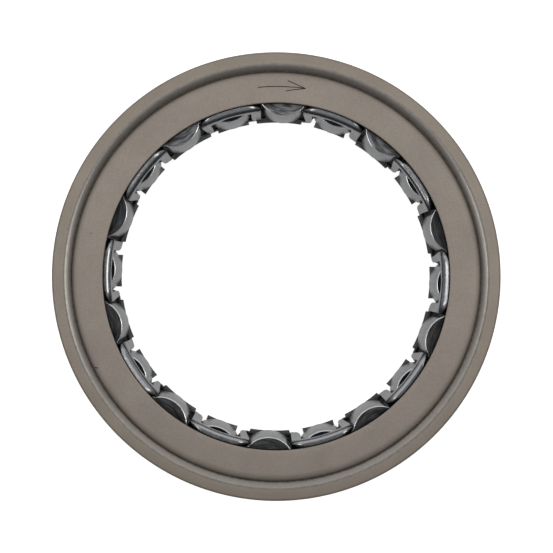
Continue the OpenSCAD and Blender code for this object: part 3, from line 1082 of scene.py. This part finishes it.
# Matt, nearly white card.
paper, tree = fresh_material("white_table")
path = node(tree, "ShaderNodeLightPath")
mirrored = node(tree, "ShaderNodeMath", {0: path.outputs["Is Glossy Ray"]},
                {1: TABLE_IN_METAL}, operation="MULTIPLY")
seen = node(tree, "ShaderNodeMath",
            {0: path.outputs["Is Camera Ray"], 1: mirrored.outputs[0]}, operation="MAXIMUM")
seen = node(tree, "ShaderNodeMath",
            {0: seen.outputs[0], 1: path.outputs["Is Transmission Ray"]}, operation="MAXIMUM")
sheet = node(tree, "ShaderNodeBsdfDiffuse", None, {"Color": linear("#E6E6E6")})
glow = node(tree, "ShaderNodeEmission", None, {"Color": WHITE, "Strength": TABLE_GLOW})
shown = node(tree, "ShaderNodeAddShader",
             {0: sheet.outputs["BSDF"], 1: glow.outputs["Emission"]})
both = node(tree, "ShaderNodeMixShader",
            {"Fac": seen.outputs[0], 1: sheet.outputs["BSDF"], 2: shown.outputs["Shader"]})
node(tree, "ShaderNodeOutputMaterial", {"Surface": both.outputs["Shader"]})
dress(table, paper)
print("table:", TABLE_SIZE, "m wide,", TABLE_GAP, "mm under the clutch")

# %% [markdown]
# ### The room
# The world round the table is a dome of greys. Low down it is bright towards the picture's top
# and dark towards its bottom, and high up it is the other way round, so that each rounding has
# one light side. Each half is a ramp of (height, grey) stops, where height 0 is the horizon and
# 1 straight up. The camera itself sees white.

# %% Room
DARK_SIDE = ((0.0, 0.02), (0.5, 0.12), (0.75, 0.4), (0.88, 0.6), (1.0, 0.3))
LIGHT_SIDE = ((0.0, 0.55), (0.4, 0.6), (0.7, 0.35), (0.86, 0.25), (1.0, 0.2))
TURN_OVER = 0.5  # how far to each side of the middle the halves blend
world = bpy.data.worlds.new("pale_room")
bpy.context.scene.world = world
world.use_nodes = True
tree = world.node_tree
tree.nodes.clear()
path = node(tree, "ShaderNodeLightPath")
seen = node(tree, "ShaderNodeMath",
            {0: path.outputs["Is Camera Ray"], 1: path.outputs["Is Transmission Ray"]},
            operation="MAXIMUM")
way = node(tree, "ShaderNodeTexCoord").outputs["Generated"]
part_of_way = node(tree, "ShaderNodeSeparateXYZ", {0: way})
sides = []
for greys in (DARK_SIDE, LIGHT_SIDE):
    dome = node(tree, "ShaderNodeValToRGB", {"Fac": part_of_way.outputs["Z"]},
                stops=[(height, (grey, grey, grey, 1)) for height, grey in greys])
    side = node(tree, "ShaderNodeBackground", {"Color": dome.outputs["Color"]})
    sides.append(side.outputs["Background"])
facing = node(tree, "ShaderNodeMapRange", {"Value": part_of_way.outputs["Y"]},
              {"From Min": -TURN_OVER, "From Max": TURN_OVER})
fill = node(tree, "ShaderNodeMixShader",
            {"Fac": facing.outputs["Result"], 1: sides[0], 2: sides[1]})
white = node(tree, "ShaderNodeBackground", None, {"Color": WHITE, "Strength": 1.0})
mixed = node(tree, "ShaderNodeMixShader",
             {"Fac": seen.outputs[0], 1: fill.outputs["Shader"], 2: white.outputs["Background"]})
node(tree, "ShaderNodeOutputWorld", {"Surface": mixed.outputs["Shader"]})
print("room of", len(tree.nodes), "nodes")


# %% [markdown]
# ### The lamps
# Two soft lamps hang high at the left and right, and draw the bright lines on the loops and
# the rim. A wide one leans over the top side. Their sizes and distances are in metres.

# %% Lamps
def lamp(name, azimuth, elevation, distance, width, height, radiance):
    """A soft lamp aimed at the clutch; azimuth counts from the right of the picture."""
    turn, up = math.radians(azimuth), math.radians(elevation)
    way = Vector((math.cos(up) * math.cos(turn), math.cos(up) * math.sin(turn), math.sin(up)))
    data = bpy.data.lights.new(name, "AREA")
    data.shape = "RECTANGLE"
    data.size, data.size_y = width, height
    data.energy = radiance * math.pi * width * height
    piece = bpy.data.objects.new(name, data)
    bpy.context.scene.collection.objects.link(piece)
    piece.location = way * distance + Vector((0, 0, RING_W * MM))
    piece.rotation_mode = "QUATERNION"
    piece.rotation_quaternion = way.to_track_quat("Z", "Y")
    print(name, "power in watts:", round(data.energy, 4))


lamp("left_softbox", 190, 61, distance=0.26, width=0.075, height=0.12, radiance=3.1)
lamp("right_softbox", 0, 61, distance=0.26, width=0.075, height=0.12, radiance=4.0)
lamp("top_softbox", 96, 57, distance=0.16, width=0.27, height=0.15, radiance=0.78)

# %% [markdown]
# ### The camera
# It hangs straight above the clutch, slightly left of its axis, about 365 mm over the front
# face. That distance shows the far ends of the sprags as much nearer the axis as the photo does.

# %% Camera
CAMERA_MM = Vector((-2.5, 0.0, 390.0))
AIM_MM = Vector((0.01, 0.02, 25.0))
VIEW_DEGREES = 17.247
view_data = bpy.data.cameras.new("overhead_view")
view_data.sensor_fit = "HORIZONTAL"
view_data.angle = math.radians(VIEW_DEGREES)
view_data.clip_start, view_data.clip_end = 0.01, 10
camera = bpy.data.objects.new("overhead_view", view_data)
bpy.context.scene.collection.objects.link(camera)
backwards = (CAMERA_MM - AIM_MM).normalized()
across = Vector((0, 1, 0)).cross(backwards).normalized()
upwards = backwards.cross(across)
camera.matrix_world = Matrix((across, upwards, backwards)).transposed().to_4x4()
camera.location = CAMERA_MM * MM
bpy.context.scene.camera = camera
bpy.context.scene.view_settings.view_transform = "Standard"
print("camera over the front face in mm:", CAMERA_MM.z - RING_W)
